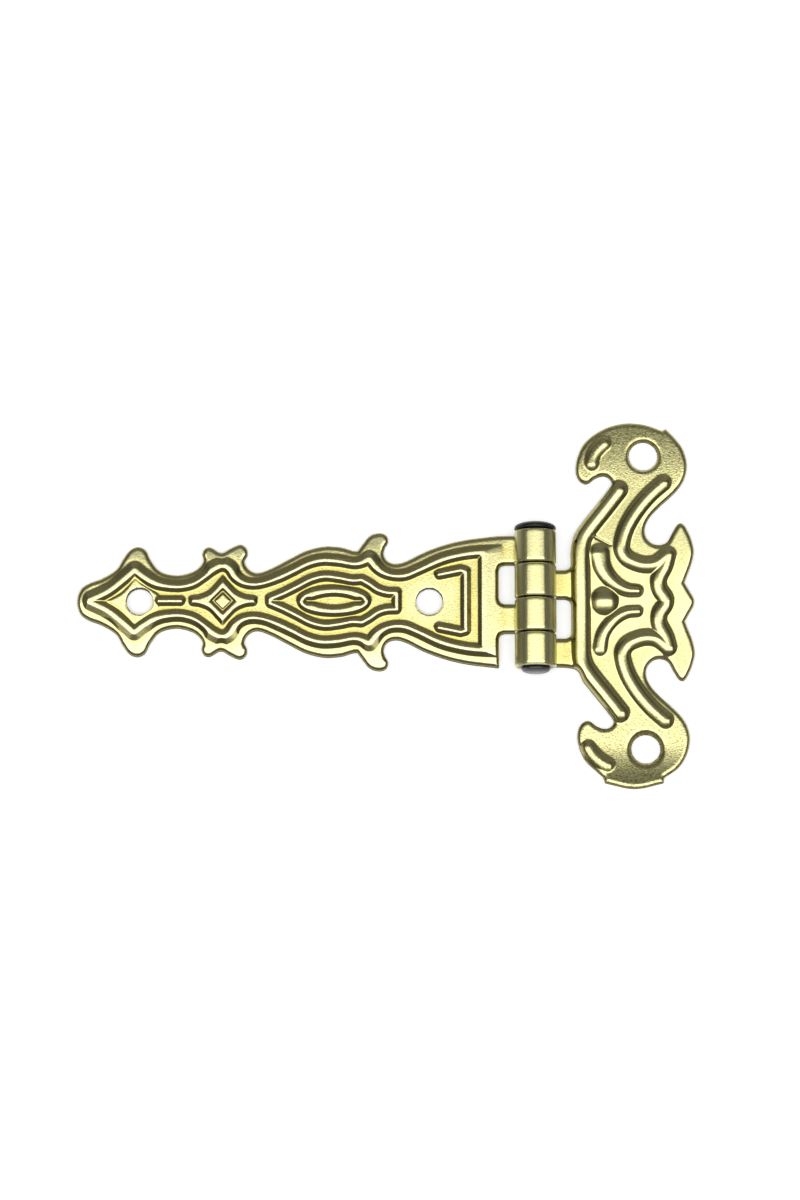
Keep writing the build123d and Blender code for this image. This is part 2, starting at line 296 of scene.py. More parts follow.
strapLeaf = {
    "floorRise": 0.06,         # ground inside the frame, above the rim
    "ridgeRise": 0.36,
    "ridgeHalf": 0.58,
    "ridgeFlat": 0.2,
    "wallRun": 0.57,           # wall that lifts the panel out of the rim
    "shoulderTop": 0.3,        # the ground beside the frame falls from here
    "shoulderFall": (0.5, 0.19),
    "shoulderTurn": 2.5,       # it turns gentle this far before the straight edge
    "rimSlope": 0.06,          # fall of the rim, which flattens towards the wall
    "rimBend": 0.3,
    "padRise": 0.09,
    "padRun": 0.25,
    "panelReach": 2.5,         # how far from an edge its depth is measured
    "starReach": 1.5,
    "padReach": 1.0,
    "softening": 0.045,
    "waviness": 0.004,
    "edgeRun": 0.5,            # rounding that blanking leaves along the outline
    "edgeDrop": 0.25,
    "holeRun": 0.2,
    "holeDrop": 0.06,
    "grooveHalf": 0.3,
    "grooveDepth": 0.28,
    "grain": 0.35,
    "toneSpan": 0.5,           # depth over which the colour runs from the painted highlight of the crests to the painted shade of the hollows
    "slopeShade": 0.86,           # strength of the painted shade on the steep sides
    "tabWarmth": 0.1,          # how much deeper the colour is on the tabs at the barrel
    "outline": [
        (tipX, 0),
        (tipX + 0.35, 1.25),
        (tipX + 1.2, 1.9),
        (lobeX - 3.9, 2.4),
        (lobeX - 2.4, 3.35),
        (lobeX - 1.7, 4.5),
        (lobeX - 1.0, 5.4),
        (lobeX - 0.2, 5.7),
        (lobeX + 0.55, 5.35),
        (lobeX + 1.1, 4.3),
        (lobeX + 2.0, 3.2),
        (lobeX + 3.4, 2.75),
        (starX - 3.9, 2.85),
        (starX - 2.7, 3.35),
        (starX - 2.05, 4.2),
        (starX - 2.15, 5.0),
        (starX - 1.85, 5.55),
        (starX - 1.3, 5.65),
        (starX - 0.2, 5.1),
        (starX + 0.75, 5.55),
        (starX + 1.75, 5.95),
        (starX + 2.35, 5.6),
        (starX + 2.5, 4.95),
        (starX + 2.2, 4.2),
        (starX + 2.6, 3.4),
        (starX + 3.5, 3.0),
        (lozengeX - 5.7, 3.45),
        (lozengeX - 3.8, 4.45),
        (lozengeX - 2.1, 5.3),
        (lozengeX - 0.2, 5.75),
        (lozengeX + 1.5, 5.65),
        (lozengeX + 2.7, 5.3),
        (earX - 2.25, 5.25, 1),
        (earX - 1.75, 5.95),
        (earX - 1.0, 6.85),
        (earX - 0.1, 7.15),
        (earX + 0.65, 6.95),
        (earX + 0.9, 6.3),
        (earX + 0.55, 5.6),
        (earX + 0.45, 4.9),
        (earX + 0.85, 4.2),
        (earX + 1.7, 3.95),
        (earX + 2.7, 4.2),
        (fanX - 0.5, 5.15),
        (fanX + 1.7, 5.95),
        (fanX + 3.7, 6.42),
        (fanX + 5.8, 6.7),
        (edgeX, fanHalf, 1),
    ],
    "panel": [
        (tipX + 0.8, 0),
        (tipX + 1.4, 1.0),
        (lobeX - 3.3, 1.65),
        (lobeX - 1.9, 2.85),
        (lobeX - 1.2, 3.75),
        (lobeX - 0.5, 4.1),
        (lobeX + 0.2, 3.7),
        (lobeX + 0.9, 2.95),
        (lobeX + 1.9, 2.25),
        (lobeX + 3.3, 1.92),
        (starX - 4.0, 1.95),
        (starX - 2.8, 2.35),
        (starX - 1.9, 3.05),
        (starX - 1.4, 3.8),
        (starX - 0.9, 4.15),
        (starX, 4.1),
        (starX + 0.95, 4.35),
        (starX + 1.35, 3.85),
        (starX + 1.5, 3.1),
        (starX + 1.95, 2.5),
        (starX + 2.8, 2.15),
        (lozengeX - 6.5, 2.25),
        (lozengeX - 5.0, 2.85),
        (lozengeX - 3.5, 3.55),
        (lozengeX - 2.0, 4.3),
        (lozengeX - 0.5, 4.66),
        (lozengeX + 1.2, 4.58),
        (lozengeX + 2.7, 4.3),
        (earX - 2.0, 4.42),
        (earX - 1.4, 4.85),
        (earX - 0.85, 5.05),
        (earX - 0.4, 4.65),
        (earX, 3.95),
        (earX + 0.5, 3.4),
        (earX + 1.3, 3.05),
        (earX + 2.5, 3.08),
        (fanX - 1.3, 3.58),
        (fanX + 0.9, 4.63),
        (fanX + 2.8, 5.17),
        (fanX + 4.8, 5.47),
        (edgeX + 0.9, 5.6, 1),
        (edgeX + 0.9, 0),
    ],
    "frame": [
        (tipX + 1.35, 0, 1),
        (lobeX - 3.2, 0.9),
        (lobeX - 1.6, 2.15),
        (lobeX - 0.52, 3.12, 1),
        (lobeX + 0.4, 2.4),
        (lobeX + 1.6, 1.75),
        (lobeX + 3.2, 1.48),
        (starX - 4.2, 1.48),
        (starX - 3.0, 1.78),
        (starX - 1.9, 2.5),
        (starX - 0.8, 3.3),
        (starX, 3.58),
        (starX + 0.6, 3.3),
        (starX + 1.2, 2.45),
        (starX + 2.2, 1.85),
        (starX + 3.6, 1.75),
        (lozengeX - 5.0, 2.35),
        (lozengeX - 3.5, 3.05),
        (lozengeX - 2.0, 3.8),
        (lozengeX - 0.5, 4.18),
        (lozengeX + 1.2, 4.1),
        (lozengeX + 2.7, 3.85),
        (earX - 2.0, 3.9),
        (earX - 1.05, 4.25, 1),
        (earX - 0.4, 3.45),
        (earX + 0.4, 2.9),
        (earX + 1.5, 2.6),
        (earX + 2.6, 2.62),
        (fanX - 1.3, 3.1),
        (fanX + 1.2, 4.2),
        (fanX + 3.0, 4.7),
        (fanX + 4.8, 4.95),
        (edgeX - 1.6, 4.9, 1),
        (edgeX - 1.6, 0),
    ],
    "loop": [
        (lozengeX - 5.75, 0),
        (lozengeX - 5.75, 0.22, 1),
        (lozengeX - 4.4, 0.8),
        (lozengeX - 3.0, 1.5),
        (lozengeX - 1.6, 2.22),
        (lozengeX - 0.2, 2.55),
        (lozengeX + 1.4, 2.38),
        (lozengeX + 2.6, 2.15),
        (earX - 1.8, 2.2, 1),
        (earX - 1.0, 1.75),
        (earX - 0.2, 1.2),
        (earX + 0.7, 0.9),
        (earX + 1.75, 0.85, 1),
        (earX + 1.75, 0),
    ],
    "eye": (lozengeX + 0.75, 3.3, 1.1),  # middle and half axes of the oval
    "eyePit": (2.2, 0.41, 1.13),         # half axes of the pit and run of its sides
    "star": [
        (starX - 3.55, 0),
        (starX - 3.4, 0.48),
        (starX - 2.4, 0.68),
        (starX - 1.5, 1.08),
        (starX - 0.75, 1.85),
        (starX, 2.7, 1),
        (starX + 0.75, 1.85),
        (starX + 1.5, 1.08),
        (starX + 2.4, 0.68),
        (starX + 3.45, 0.48),
        (starX + 3.6, 0),
    ],
    "starRun": 0.47,
    "starWell": (1.42, 0.92),  # half diagonals of the sunk diamond and of the core that stands in it
    "starCore": (0.7, 0.15, 0.35),       # the core's rise, the spread of its foot and the run of its sides
    "bar": [(lobeX + 2.1, 0), (lobeX + 4.2, 0)],
    "barHalf": 0.55,
    "bracket": [(fanX + 1.0, 2.75), (fanX + 3.2, 3.2, 1), (fanX + 3.7, 3.05, 1), (fanX + 3.7, 0)],
    "pad": [
        (lobeX - 3.3, 0, 1),
        (lobeX - 1.7, 0.9),
        (lobeX - 0.5, 2.4, 1),
        (lobeX + 0.6, 1.5),
        (lobeX + 1.9, 0.6),
        (lobeX + 2.0, 0),
    ],
}


def strapOutline(sizes):
    upper = sizes["outline"]
    return upper + tabs(-1, strapKnuckles) + below(upper)


def strapFace(plate, sizes):
    floor, ridge = sizes["floorRise"], sizes["ridgeRise"]
    panelDepth = plate.depth(around(sizes["panel"]), sizes["panelReach"])
    frameCurve = around(sizes["frame"])
    loopCurve = around(sizes["loop"])
    frameDepth = plate.depth(frameCurve, sizes["panelReach"])
    # outside the frame the ground falls to the wall, and the rim lies beyond it
    steep, gentle = sizes["shoulderFall"]
    fall = steep + (gentle - steep) * eased(plate.x - edgeX + sizes["shoulderTurn"])
    shoulder = ridge - fall * np.clip(-frameDepth - sizes["shoulderTop"], 0, None)
    outside = np.minimum(ridge * ramp(panelDepth, sizes["wallRun"]), np.clip(shoulder, 0, None))
    beyond, bend = np.clip(-panelDepth - sizes["wallRun"] / 2, 0, None), sizes["rimBend"]
    outside -= sizes["rimSlope"] * (np.hypot(beyond, bend) - bend)
    # ridges inside it, as shares of the full rise
    x, wide, tall = sizes["eye"]
    turn = np.linspace(0, 2 * math.pi, num=400, endpoint=False)
    oval = np.stack([x + wide * np.cos(turn), tall * np.sin(turn)], 1)
    bracket = smoothCurve(sizes["bracket"] + mirrored(sizes["bracket"])[1:])
    drawn = [(curve, sizes["ridgeHalf"]) for curve in (frameCurve, loopCurve, oval, bracket)]
    drawn.append((smoothCurve(sizes["bar"]), sizes["barHalf"]))
    rise = np.zeros(plate.x.shape)
    for curve, half in drawn:
        rise = np.maximum(rise, crest(plate.nearness(curve, half), sizes["ridgeFlat"]))
    pitWide, pitTall, pitRun = sizes["eyePit"]
    pit = np.clip(np.abs(plate.x - x) / pitWide, 0, 1) ** 2 + np.abs(plate.y) / pitTall
    within = np.hypot((plate.x - x) / wide, plate.y / tall) < 1
    rise = np.where(within, np.maximum(rise, np.clip((pit - 1) / pitRun, 0, 1)), rise)
    # star with a sunk diamond and a core that stands in it
    starDepth = plate.depth(around(sizes["star"]), sizes["starReach"])
    rise = np.maximum(rise, np.clip(starDepth / sizes["starRun"], 0, 1))
    diamond = np.abs(plate.x - starX) + np.abs(plate.y)
    well, core = sizes["starWell"]
    sunk = np.clip((diamond - well) / sizes["starRun"] + 1, 0, 1)
    coreRise, coreSpread, coreRun = sizes["starCore"]
    stands = coreRise * np.clip((core + coreSpread - diamond) / coreRun, 0, 1)
    rise = np.where(diamond < well, np.minimum(rise, np.maximum(sunk, stands)), rise)
    padDepth = plate.depth(around(sizes["pad"]), sizes["padReach"])
    pad = eased(padDepth / sizes["padRun"] + 0.5)
    height = np.where(frameDepth < 0, outside, floor + (ridge - floor) * rise + sizes["padRise"] * pad)
    back = np.zeros(height.shape)
    for curve in (frameCurve, loopCurve):
        back = np.maximum(back, sizes["grooveDepth"] * bead(plate.nearness(curve, sizes["grooveHalf"])))
    return height, back, np.full(height.shape, sizes["grain"])


# Scroll leaf: two hooked heads joined by rounded beads
headX = headHoles[1][0]
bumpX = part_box("scroll_leaf")[1][0] / mm
stubY = -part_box("scroll_leaf")[0][1] / mm
spineX = barrel["leafEdge"] + 1.0

scrollLeaf = {
    "beadSlope": 0.47,         # rise of a bead by its half width
    "beadHalf": 0.9,
    "railHalf": 1.02,
    "commaHalf": {1: (0.66, 1.08), -1: (0.62, 0.8)},
    "curlHalf": 0.8,
    "dome": (headX - 4.1, 1.5, 0.6),
    "dish": (0.03, 7.0),       # slope of the ground between the beads, and where it dies out up and down
    "mouth": 2.1,              # radius at which the sheet starts to dip into a screw hole
    "mouthDrop": 0.44,
    "mouthCurve": {1: 3.6, -1: 2.0},     # the upper mouth is tighter than the lower
    "softening": 0.06,
    "waviness": 0.003,
    "edgeRun": 0.52,
    "edgeDrop": 0.26,
    "hollowHalf": 0.5,
    "hollowDepth": 0.42,
    "headDroop": (12.8, 0.0105),         # the upper head falls beyond this far up, per square millimetre
    "headLift": (14.6, 0.03),            # the lower head curls up beyond this far down
    "grain": (0.3, 0.8),       # in the middle and on the heads
    "grainFrom": (10.5, 3.0),  # how far up and down the heads' grain starts, and its run
    "toneSpan": 2.5,
    "slopeShade": 0.74,
    "tabWarmth": 0.17,
    "edgeTop": 5.4,            # upper end of the straight edge
    "arm": [
        (barrel["leafEdge"] + 0.35, 6.95),
        (headX - 6.25, 8.35),
        (headX - 4.75, 10.25),
        (headX - 3.55, 11.8),
        (headX - 3.25, 12.4),
        (headX - 3.6, 12.95),
        (headX - 4.2, 13.12),
        (headX - 5.0, 12.85),
        (headX - 5.85, 12.3),
        (headX - 6.65, 12.75),
        (headX - 6.95, 13.8),
        (headX - 6.75, 15.1),
        (headX - 6.15, 16.4),
    ],
    "upperEnd": [
        (headX - 5.15, 17.4),
        (headX - 3.8, 18.2),
        (headX - 2.5, 18.6),
        (headX - 1.2, 18.72),
        (headX + 0.4, 18.5),
        (headX + 2.0, 17.9, 1),
        (headX + 2.35, 18.12, 1),
    ],
    "lowerEnd": [
        (headX - 5.15, 17.4),
        (headX - 4.4, 18.1, 1),
        (headX - 4.2, stubY - 0.6, 1),
        (headX - 1.2, stubY),
        (headX + 1.75, stubY - 0.6, 1),
        (headX + 1.85, 18.15, 1),
    ],
    "outside": [
        (headX + 3.2, 17.2),
        (headX + 4.0, 16.1),
        (headX + 4.4, 14.9),
        (headX + 4.45, 13.8),
        (headX + 4.1, 12.6),
        (headX + 3.45, 11.65),
        (headX + 2.6, 10.8),
        (headX + 1.55, 9.85),
        (headX + 0.6, 8.8),
        (headX + 0.1, 7.7),
        (headX + 0.2, 6.75),
        (headX + 0.85, 6.05),
        (headX + 1.65, 5.9),
        (headX + 2.35, 6.2),
        (headX + 2.95, 7.25),
        (headX + 3.5, 8.05),
        (headX + 3.95, 8.12),
        (bumpX - 0.6, 7.3),
        (bumpX - 0.2, 6.25),
        (bumpX - 0.02, 5.2),
        (bumpX - 0.25, 4.0),
        (bumpX - 0.7, 2.8),
        (bumpX - 1.0, 2.0, 1),
        (bumpX - 0.55, 1.2),
        (bumpX - 0.1, 0.4),
        (bumpX - 0.02, 0),
    ],
    "rail": [
        (spineX, 0),
        (spineX, 5.3),
        (spineX + 0.2, 6.5),
        (headX - 5.7, 7.55),
        (headX - 4.1, 9.6),
        (headX - 2.6, 11.55),
    ],
    "scroll": [
        (headX + 2.0, 12.3),
        (headX + 0.6, 11.05),
        (headX - 0.7, 9.5),
        (headX - 1.7, 7.85),
        (headX - 2.2, 6.45),
        (headX - 2.3, 5.3),
        (headX - 1.85, 4.5),
        (headX - 1.1, 4.05),
        (headX, 3.75),
        (headX + 1.2, 3.9),
        (headX + 2.4, 4.8),
    ],
    "wave": [
        (headX + 2.4, 4.8),
        (headX + 2.1, 3.7),
        (headX + 1.45, 2.3),
        (headX + 1.5, 1.3),
        (headX + 2.15, 0),
    ],
    "comma": [
        (headX - 0.75, 1.05),
        (headX - 1.8, 1.15),
        (headX - 2.9, 1.7),
        (headX - 3.8, 2.6),
        (headX - 4.35, 3.6),
        (headX - 4.6, 4.9),
    ],
    "curl": {
        1: [
            (headX - 4.05, 16.5),
            (headX - 4.6, 16.0),
            (headX - 5.05, 15.4),
            (headX - 5.25, 14.85),
            (headX - 5.3, 14.35),
        ],
        -1: [
            (headX - 3.95, 16.85),
            (headX - 4.65, 16.4),
            (headX - 5.3, 15.8),
            (headX - 5.85, 15.1),
        ],
    },
    "crease": [(headX - 5.1, 6.75), (headX - 3.5, 5.85)],    # die mark between the upper rail and comma
    "creaseHalf": 0.16,
    "creaseDepth": 0.12,
}


def scrollOutline(sizes):
    corner = (barrel["leafEdge"], sizes["edgeTop"])
    upper = [corner] + sizes["arm"] + sizes["upperEnd"] + sizes["outside"]
    lower = sizes["arm"] + sizes["lowerEnd"] + sizes["outside"]
    return upper + below(lower) + tabs(1, scrollKnuckles)[::-1]


def scrollFace(plate, sizes):
    height = np.zeros(plate.x.shape)
    back = np.zeros(plate.x.shape)
    wave = smoothCurve(sizes["wave"] + mirrored(sizes["wave"])[1:])
    rail = smoothCurve(mirrored(sizes["rail"])[:-1] + sizes["rail"])
    drawn = [(rail, sizes["railHalf"]), (wave, sizes["beadHalf"])]
    coined = []
    for side in (1, -1):
        lines = (sizes["scroll"], sizes["comma"], sizes["curl"][side])
        scroll, comma, curl = [smoothCurve([(x, side * y) for x, y in line]) for line in lines]
        drawn.append((scroll, sizes["beadHalf"]))
        coined.append((comma, np.linspace(*sizes["commaHalf"][side], len(comma))))
        coined.append((curl, sizes["curlHalf"]))
    for curve, half in drawn + coined:
        height = np.maximum(height, sizes["beadSlope"] * np.mean(half) * bead(plate.nearness(curve, half)))
    for curve, half in drawn:
        back = np.maximum(back, sizes["hollowDepth"] * bead(plate.nearness(curve, sizes["hollowHalf"])))
    x, radius, rise = sizes["dome"]
    height = np.maximum(height, rise * bead(plate.distance(x, 0) / radius))
    crease = np.linspace(*np.array(sizes["crease"]), num=30)
    height -= sizes["creaseDepth"] * bead(plate.nearness(crease, sizes["creaseHalf"]))
    for hole in headHoles:
        inward = sizes["mouth"] - plate.distance(*hole)
        dip = np.clip(inward / (sizes["mouth"] - headHoleRadius), 0, 1)
        height -= sizes["mouthDrop"] * dip ** sizes["mouthCurve"][1 if hole[1] > 0 else -1]
    slope, reach = sizes["dish"]
    height += slope * plate.y * np.exp(-((plate.y / reach) ** 2))
    start, droop = sizes["headDroop"]
    height -= droop * np.clip(plate.y - start, 0, None) ** 2
    start, lift = sizes["headLift"]
    curledUp = lift * np.clip(-plate.y - start, 0, None) ** 2
    height += curledUp
    back += curledUp
    low, high = sizes["grain"]
    start, run = sizes["grainFrom"]
    grain = low + (high - low) * eased((np.abs(plate.y) - start) / run)
    return height, back, grain


# Meshes
class MeshParts:
    # gathers points, faces and the values that the finishes read at each point
    def __init__(self):
        self.points, self.faces, self.values, self.count = [], [], [], 0

    def add(self, points, tone=0.5, edge=0.0, grain=0.3, slope=0.0):
        start = self.count
        size = len(points)
        self.points.append(points)
        self.values.append(np.stack([np.broadcast_to(v, size) for v in (tone, edge, grain, slope)], 1))
        self.count += size
        return start

    def strip(self, starts, size):
        for a, b in zip(starts, starts[1:]):
            for k in range(size):
                n = (k + 1) % size
                self.faces.append((a + k, a + n, b + n, b + k))

    def tube(self, starts, size):
        # a strip with both ends closed
        self.strip(starts, size)
        for start in (starts[0], starts[-1]):
            self.faces.append(tuple(range(start, start + size)))

    def build(self, name, material):
        mesh = bpy.data.meshes.new(name)
        mesh.from_pydata((np.vstack(self.points) * mm).tolist(), [], self.faces)
        values = np.vstack(self.values).astype(np.float32)
        for column, label in enumerate(("tone", "edge", "grain", "slope")):
            held = mesh.attributes.new(label, "FLOAT", "POINT")
            held.data.foreach_set("value", np.ascontiguousarray(values[:, column]))
        bm = bmesh.new()
        bm.from_mesh(mesh)
        bmesh.ops.recalc_face_normals(bm, faces=bm.faces)
        bm.to_mesh(mesh)
        bm.free()
        mesh.shade_smooth()
        mesh.materials.append(material)
        made = bpy.data.objects.new(name, mesh)
        bpy.context.scene.collection.objects.link(made)
        return made


def insideGrid(loops, pitch):
    # staggered points inside the outline and outside the holes, clear of both
    near = KDTree(sum(len(loop) for loop in loops))
    for index, point in enumerate(np.vstack(loops)):
        near.insert((point[0], point[1], 0), index)
    near.balance()
    rowPitch, clear = 0.866 * pitch, 0.6 * pitch
    low, high = loops[0].min(0), loops[0].max(0)
    kept = []
    for row, y in enumerate(np.arange(low[1], high[1], rowPitch)):
        xs = np.arange(low[0] + 0.5 * pitch * (row % 2), high[0], pitch)
        for x in xs[np.searchsorted(crossingsAt(loops, y), xs) % 2 == 1]:
            if near.find((x, y, 0))[2] > clear:
                kept.append((x, y))
    return np.array(kept)


# Pressed sheet, the same for both leaves
sheetMesh = {
    "frontPitch": 0.086,
    "backPitch": 0.165,
    "edgePitch": 0.09,
    "bevel": 0.035,
    "backSoft": 0.16,          # softening of the hollows in the back
    "reliefFrom": (2.4, 1.2),  # under the barrel the sheet is plain: distance from the pin, and run
    "edgePower": 2.2,          # how suddenly the face turns down along the outline
    "edgeTone": 0.4,
    "edgeBareAndShade": (0.45, 1.0, 0.3),        # how dark the edge is in front, on the cut and behind: bare steel on the cut, painted shade where the face rounds over
    "backTone": 0.45,
    "toneReach": 0.5,          # how far round a place its height is compared for the tone
    "warmFrom": (3.1, 1.1),    # the tabs' deeper colour fades at this distance from the pin, over this run
    "slope": (0.3, 0.62),      # slopes at which the painted shade starts and is darkest
}


def cutEdge(parts, loop, plate, front, back, grain):
    # bevelled edge along a loop: its inner ring, and the first point of that ring on each face
    bevel, tone = sheetMesh["bevel"], sheetMesh["edgeTone"]
    frontDarkness, cutDarkness, backDarkness = sheetMesh["edgeBareAndShade"]
    inner = inset(loop, bevel)
    rings = [
        # edge values: bare steel on the cut, and painted shade on the rounding of the face
        parts.add(plate.raised(front, inner), tone, frontDarkness, plate.at(grain, inner)),
        parts.add(plate.raised(front, loop, -bevel), tone, cutDarkness),
        parts.add(plate.raised(back, loop, bevel), tone, cutDarkness),
        parts.add(plate.raised(back, inner), tone, backDarkness),
    ]
    parts.strip(rings, len(loop))
    return inner, rings[0], rings[-1]


def fillFace(parts, rings, firsts, plate, field, holes, holeRadius):
    # triangles of one face, from the rings of its edges and the points between them, which come last
    owners = np.concatenate([first + np.arange(len(ring)) for ring, first in zip(rings, firsts)])
    borders, done = [], 0
    for ring in rings[:-1]:
        borders += [(done + k, done + (k + 1) % len(ring)) for k in range(len(ring))]
        done += len(ring)
    flat = [Vector(point) for point in np.vstack(rings)]
    insideOnly, tolerance = 1, 1e-7
    spots, _, triangles, sources, _, _ = delaunay_2d_cdt(flat, borders, [], insideOnly, tolerance)
    owner = []
    for spot, source in zip(spots, sources):
        if source:
            owner.append(int(owners[source[0]]))
        else:                                                       # two edges crossed here
            owner.append(parts.add(plate.raised(field, np.array([spot]))))
    for triangle in triangles:
        centre = sum((spots[v] for v in triangle), Vector((0, 0))) / 3
        if all((centre - Vector(hole)).length > holeRadius for hole in holes):
            parts.faces.append(tuple(owner[v] for v in triangle))


def pressedSheet(parts, loops, holes, holeRadius, plate, front, back, grain, slope, sizes):
    warmFrom, warmRun = sheetMesh["warmFrom"]
    # tone: height against its surroundings, which paints shade into the hollows and a highlight onto the
    # crests
    tone = 0.5 + (front - plate.softened(front, sheetMesh["toneReach"])) / sizes["toneSpan"]
    tone = np.clip(tone - sizes["tabWarmth"] * (1 - eased((abs(plate.x) - warmFrom) / warmRun)), 0, 1)
    edges = [cutEdge(parts, loop, plate, front, back, grain) for loop in loops]
    rings, frontFirsts, backFirsts = [list(column) for column in zip(*edges)]
    spots = insideGrid(rings, sheetMesh["frontPitch"])
    values = [plate.at(field, spots) for field in (tone, grain, slope)]
    first = parts.add(plate.raised(front, spots), values[0], 0.0, *values[1:])
    fillFace(parts, rings + [spots], frontFirsts + [first], plate, front, holes, holeRadius)
    spots = insideGrid(rings, sheetMesh["backPitch"])
    first = parts.add(plate.raised(back, spots), sheetMesh["backTone"], 0.0, plate.at(grain, spots))
    fillFace(parts, rings + [spots], backFirsts + [first], plate, back, holes, holeRadius)


# Knuckles, rolled from the tabs over the pin
rolled = {
    "from": -8,                # degrees, so that a roll starts inside its tab
    "step": 3,
    "rimSteps": 6,
    "lines": 14,               # lines round a knuckle from rim to rim
    "tone": 0.55,
    "grain": 0.2,
    "rimWear": (0.85, 0.3),    # how bare the ends are, and the share of their rounding that stays plated
    "flankShade": 0.66,         # painted shade on the flanks of the barrel, how dark
    "flankFrom": (0.4, 0.16),  # lean at which that starts, and its run
    "sideRelief": 0.5,         # how much less it is at the very sides
    "sideFrom": (0.84, 0.08),
}


def rolledKnuckle(parts, index, side):
    low, high = knuckleSpan(index)
    edge, outer, bore = barrel["edge"], barrel["outer"], barrel["bore"]
    turns = np.linspace(0, math.pi / 2, rolled["rimSteps"])
    rim = [(outer - edge * (1 - math.sin(t)), edge * (1 - math.cos(t))) for t in turns]
    section = [(r, low + y) for r, y in rim]
    section += [(outer, y) for y in np.linspace(low + edge, high - edge, rolled["lines"])[1:-1]]
    section += [(r, high - y) for r, y in reversed(rim)]
    section += [(bore, high), (bore, low)]
    radius, along = np.array(section).T
    rimWear, rimFrom = rolled["rimWear"]
    bare = rimWear * np.clip((outer - rimFrom * edge - radius) / edge, 0, 1)
    flankFrom, flankRun = rolled["flankFrom"]
    sideFrom, sideRun = rolled["sideFrom"]
    starts = []
    end = 360 - barrel["seam"] + rolled["step"] / 2
    for t in np.radians(np.arange(rolled["from"], end, rolled["step"])):
        ring = np.column_stack([-side * radius * np.sin(t), along, pinHeight - radius * np.cos(t)])
        lean = abs(math.sin(t))
        # painted shade on the flanks of the barrel
        shadedFlank = rolled["flankShade"] * eased((lean - flankFrom) / flankRun)
        shadedFlank *= 1 - rolled["sideRelief"] * eased((lean - sideFrom) / sideRun)
        starts.append(parts.add(ring, rolled["tone"], np.maximum(bare, shadedFlank), rolled["grain"]))
    parts.tube(starts, len(section))


def pressedLeaf(node, body, side, knuckles, outline, holes, holeRadius, face, sizes):
    outline = smoothCurve(outline, True)
    if signedArea(outline) < 0:
        outline = outline[::-1]
    plate = Plate(outline)
    height, back, grain = face(plate, sizes)
    toEdge = plate.depth(outline, sizes["edgeRun"])
    roll = sizes["edgeDrop"] * np.clip(1 - toEdge / sizes["edgeRun"], 0, 1) ** sheetMesh["edgePower"]
    reliefFrom, reliefRun = sheetMesh["reliefFrom"]
    formed = eased((side * plate.x - reliefFrom) / reliefRun)
    relief = plate.softened(height, sizes["softening"]) + waviness(plate, sizes["waviness"])
    front = gauge + formed * relief - roll
    low, high = sheetMesh["slope"]
    # painted shade on the steep sides, standing in for the dim room they reflect
    slope = sizes["slopeShade"] * eased((np.hypot(*np.gradient(front, plate.pitch)) - low) / (high - low))
    if "holeRun" in sizes:                                          # the scroll leaf has mouths instead
        for hole in holes:
            away = plate.distance(*hole) - holeRadius
            front -= sizes["holeDrop"] * np.clip(1 - away / sizes["holeRun"], 0, 1) ** 2
    loops = [resampled(outline, sheetMesh["edgePitch"])]
    loops += [circle(hole, holeRadius, sheetMesh["edgePitch"]) for hole in holes]
    parts = MeshParts()
    hollow = formed * plate.softened(back, sheetMesh["backSoft"])
    pressedSheet(parts, loops, holes, holeRadius, plate, front, hollow, grain, slope, sizes)
    for index in knuckles:
        rolledKnuckle(parts, index, side)
    made = parts.build(node + "_pressed", brassPlating)
    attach(made, body)
    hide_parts(node)
    print(node, "pressed,", len(made.data.polygons), "faces")


# Rivet pin, turned about the barrel's axis
rivet = {
    "shank": 1.3,
    "head": 2.13,
    "headRise": 0.83,
    "headSide": 0.2,           # straight side under the dome
    "headBevel": 0.07,
    "headPower": 0.85,
    "headSteps": 14,
    "peen": 1.48,
    "peenRise": 0.53,
    "peenBevel": (0.05, 0.08),
    "peenPower": 0.6,
    "peenSteps": 10,
    "tip": 0.004,              # radius of the small flat in the middle of both ends
    "seat": 0.04,
    "segments": 96,
}


def rivetPin():
    top = barrel["half"] + rivet["seat"]
    head, side, bevel = rivet["head"], rivet["headSide"], rivet["headBevel"]
    profile = []
    for t in np.linspace(math.pi / 2, 0, rivet["headSteps"]):       # domed head
        rise = side + (rivet["headRise"] - side) * math.sin(t)
        profile.append((head * math.cos(t) ** rivet["headPower"], top + rise))
    profile += [(head, top + bevel), (head - bevel, top)]
    profile += [(rivet["shank"], top), (rivet["shank"], -top)]
    peen, (inward, drop) = rivet["peen"], rivet["peenBevel"]
    profile += [(peen - inward, -top), (peen, -top - drop)]
    for t in np.linspace(0, math.pi / 2, rivet["peenSteps"])[1:]:   # spread end
        fall = drop + (rivet["peenRise"] - drop) * math.sin(t)
        profile.append((peen * math.cos(t) ** rivet["peenPower"], -top - fall))
    parts = MeshParts()
    turns = np.linspace(0, 2 * math.pi, rivet["segments"], endpoint=False)
    starts = []
    for radius, y in profile:
        radius = max(radius, rivet["tip"])
        x, z = radius * np.cos(turns), pinHeight + radius * np.sin(turns)
        bare = 1.0 if y < 0 else 0.0                                # peening scraped the lower end
        starts.append(parts.add(np.column_stack([x, np.full(len(turns), y), z]), edge=bare))
    parts.tube(starts, len(turns))
    made = parts.build("hinge_pin_turned", darkSteel)
    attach(made, "scroll_side")
    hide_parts("hinge_pin")
    print("rivet pin turned")


# Finishes
def newGroup(name, inputs, outputs):
    group = bpy.data.node_groups.new(name, "ShaderNodeTree")
    for label, value in inputs:
        group.interface.new_socket(label, in_out="INPUT", socket_type="NodeSocketFloat").default_value = value
    for label in outputs:
        group.interface.new_socket(label, in_out="OUTPUT", socket_type="NodeSocketFloat")
    return group, group.nodes.new("NodeGroupInput"), group.nodes.new("NodeGroupOutput")


